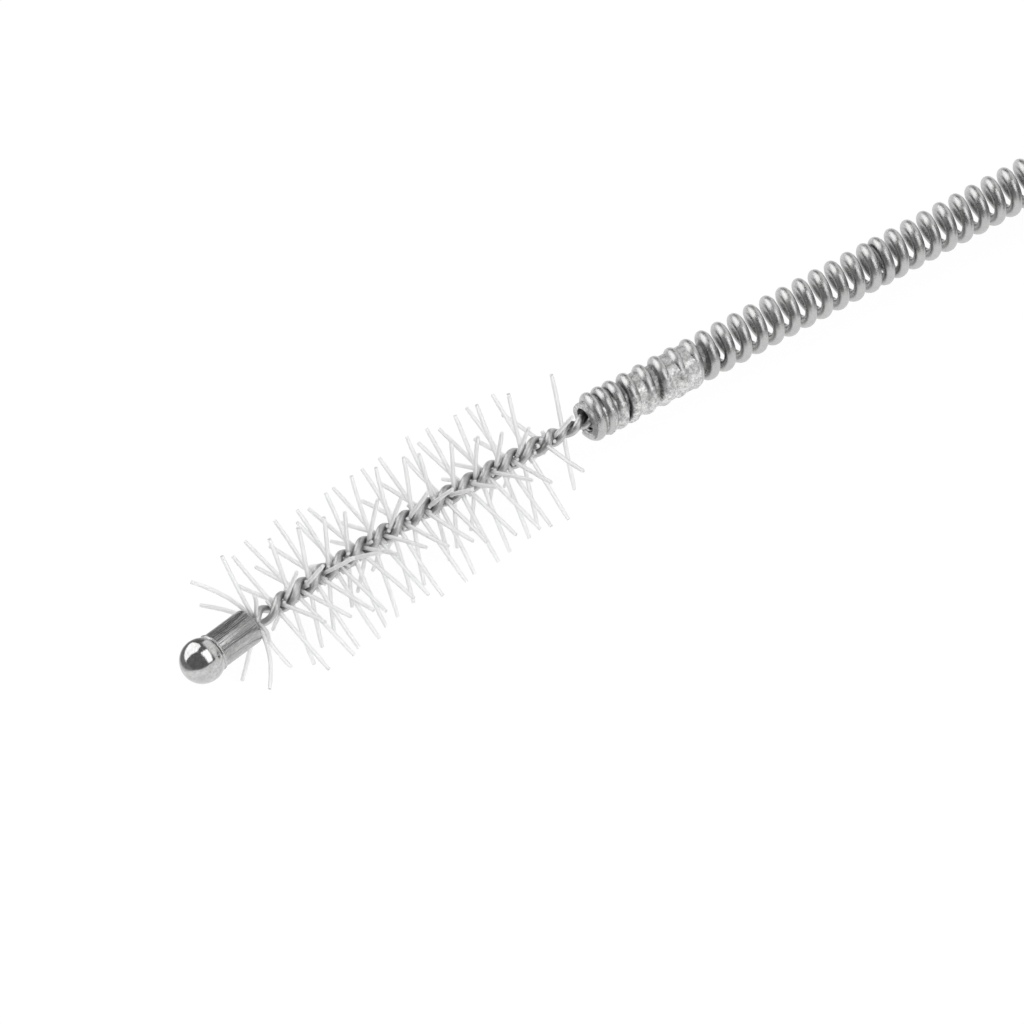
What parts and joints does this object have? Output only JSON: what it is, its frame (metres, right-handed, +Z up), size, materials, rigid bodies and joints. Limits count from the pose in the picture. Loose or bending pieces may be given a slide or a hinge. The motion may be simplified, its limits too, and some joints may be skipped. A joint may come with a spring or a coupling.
{
  "type": "endoscope cleaning brush",
  "caption": "Twisted-wire channel brush with a ball tip and nylon bristles, soldered into a long wound-wire shaft that is stored in a tied coil.",
  "frame": {"origin": "on the surface that the brush lies on, under the middle of the brush head and the straight part of its shaft", "axes": "+X along the shaft, from the ball tip towards the stored coil; +Z up; the head bends slightly towards -Y"},
  "size_m": [0.0676, 0.0293, 0.0163],
  "materials": {
    "polished_steel": "polished, with hard reflections",
    "bright_solder": "bright bead, slightly uneven",
    "drawn_steel": "drawn tube with fine lengthwise streaks",
    "satin_wire": "satin, slightly rough",
    "nylon": "translucent white filament, cut ends a little greyer",
    "spring_wire": "bright drawn wire with soft highlights",
    "grainy_solder": "mottled and grainy",
    "tie_plastic": "thin soft band"
  },
  "bodies": {
    "root": {"tip_ball": "polished_steel", "tip_weld": "bright_solder", "tip_sleeve": "drawn_steel", "stem_wire_a": "satin_wire", "stem_wire_b": "satin_wire", "bristles": "nylon", "splayed_bristles": "nylon", "shaft_winding": "spring_wire", "solder_fill": "grainy_solder", "solder_core": "grainy_solder", "shaft_lead": "spring_wire", "shaft_coil": "spring_wire", "shaft_tail": "spring_wire", "coil_tie": "tie_plastic", "end_ferrule": "drawn_steel"}
  },
  "joints": []
}
